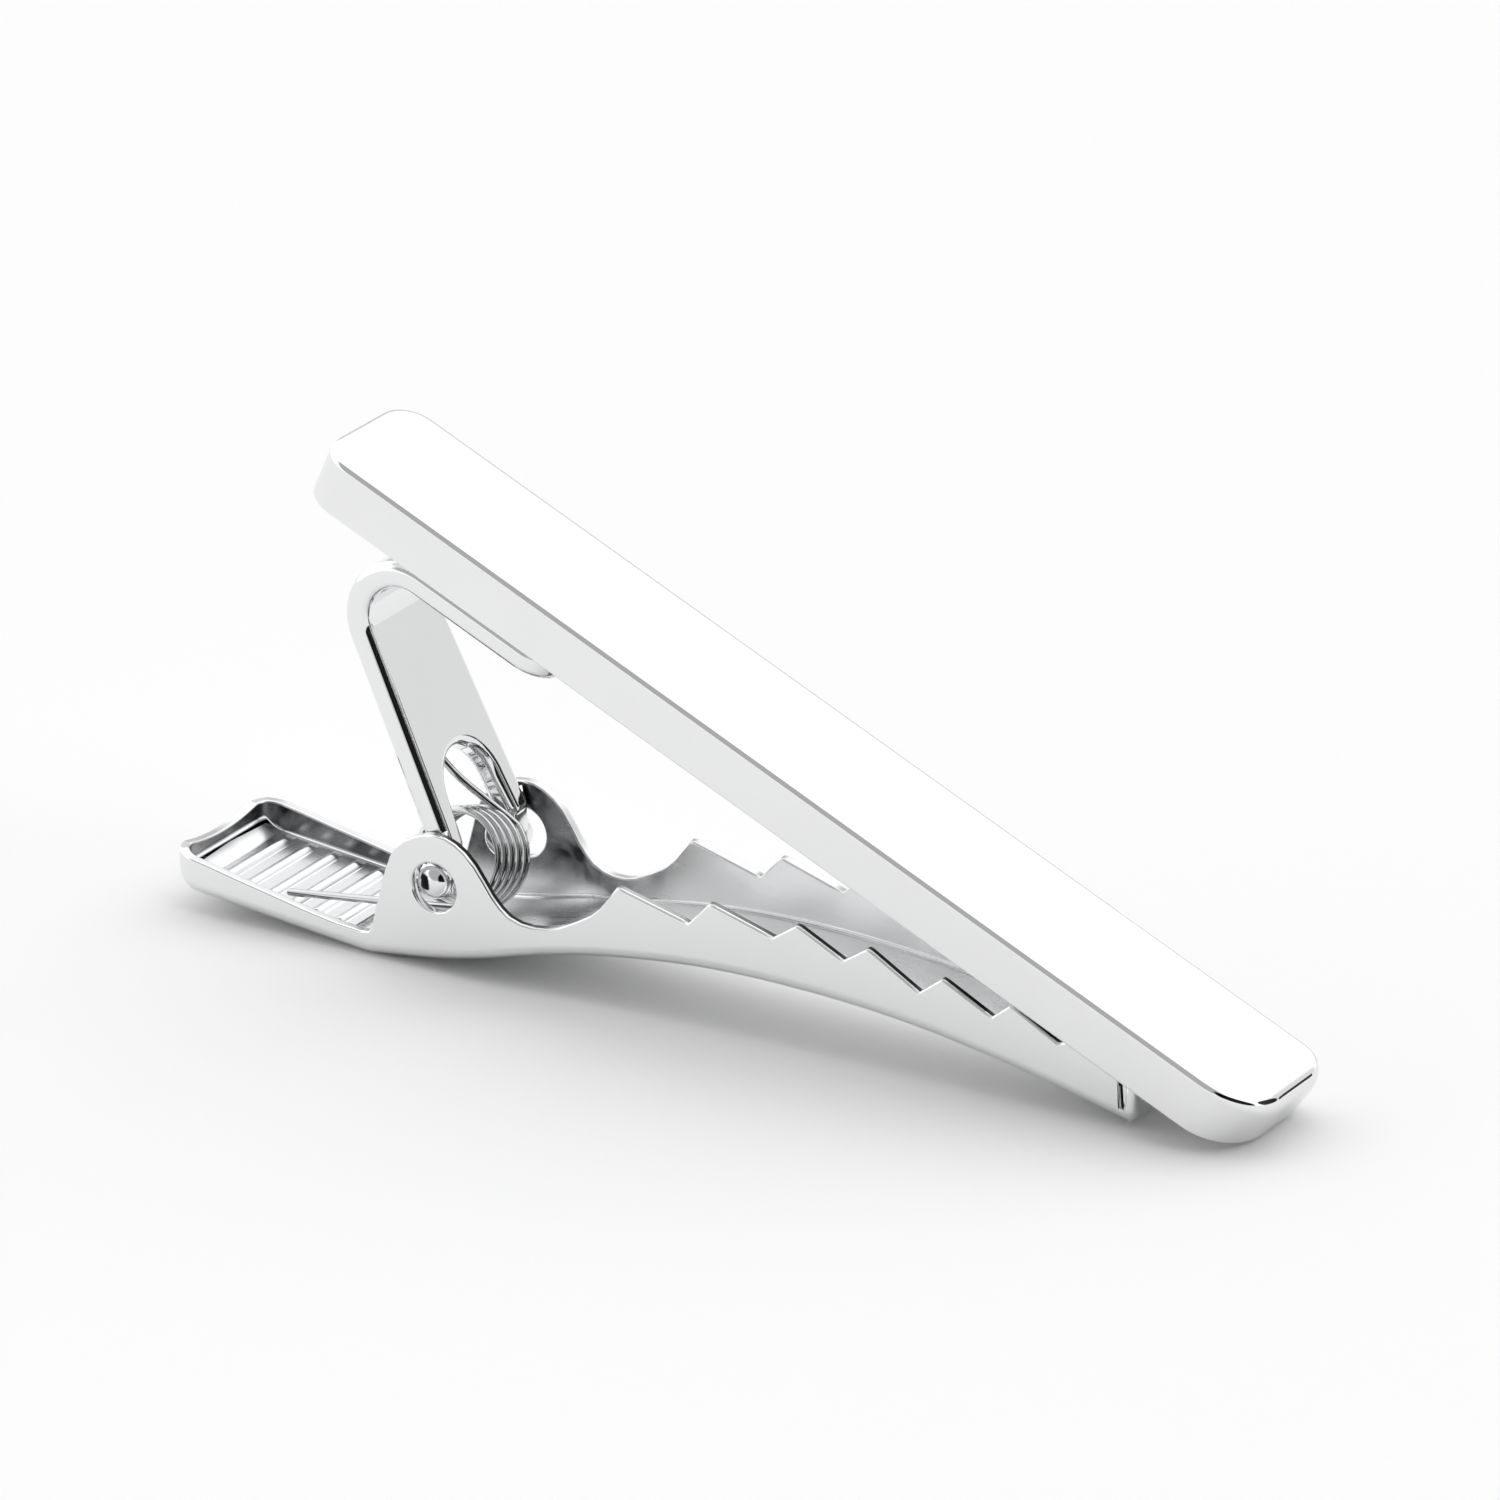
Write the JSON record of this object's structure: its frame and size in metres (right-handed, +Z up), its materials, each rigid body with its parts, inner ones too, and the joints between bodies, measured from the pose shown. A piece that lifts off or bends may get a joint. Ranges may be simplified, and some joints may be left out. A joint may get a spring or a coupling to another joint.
{
  "type": "tie clip",
  "caption": "Short dress clip with a flat polished bar on a folded strap and a sprung, saw-toothed alligator jaw that pinches cloth or folded paper to the bar's back.",
  "frame": {"origin": "bottom centre of the closed clip's bounding box, on the table it lies on", "axes": "+X along the clip from the thumb pad to the tip of the jaw, +Y across it, +Z up; the clip lies on the heel of its jaw and the nose of its bar"},
  "size_m": [0.0407, 0.0058, 0.0173],
  "materials": {
    "polished_bar": "mirror polished plate",
    "polished_strap": "polished plate",
    "polished_jaw": "polished plate",
    "spring_wire": "bright drawn wire",
    "solder": "dull solder"
  },
  "bodies": {
    "jaw": {"toothed_jaw": "polished_jaw", "torsion_spring": "spring_wire"},
    "bar": {"front_bar": "polished_bar", "solder_seam": "solder", "clasp_strap": "polished_strap"}
  },
  "joints": [
    {"name": "jaw_hinge", "type": "hinge", "parent": "jaw", "child": "bar", "pos_m": [-0.01022, 0, 0.00307], "axis": [0, -1, 0], "range_deg": [0, 70], "stiffness_Nm_per_rad": 0.012, "springref_deg": -57.3, "deforming": ["torsion_spring"]}
  ]
}
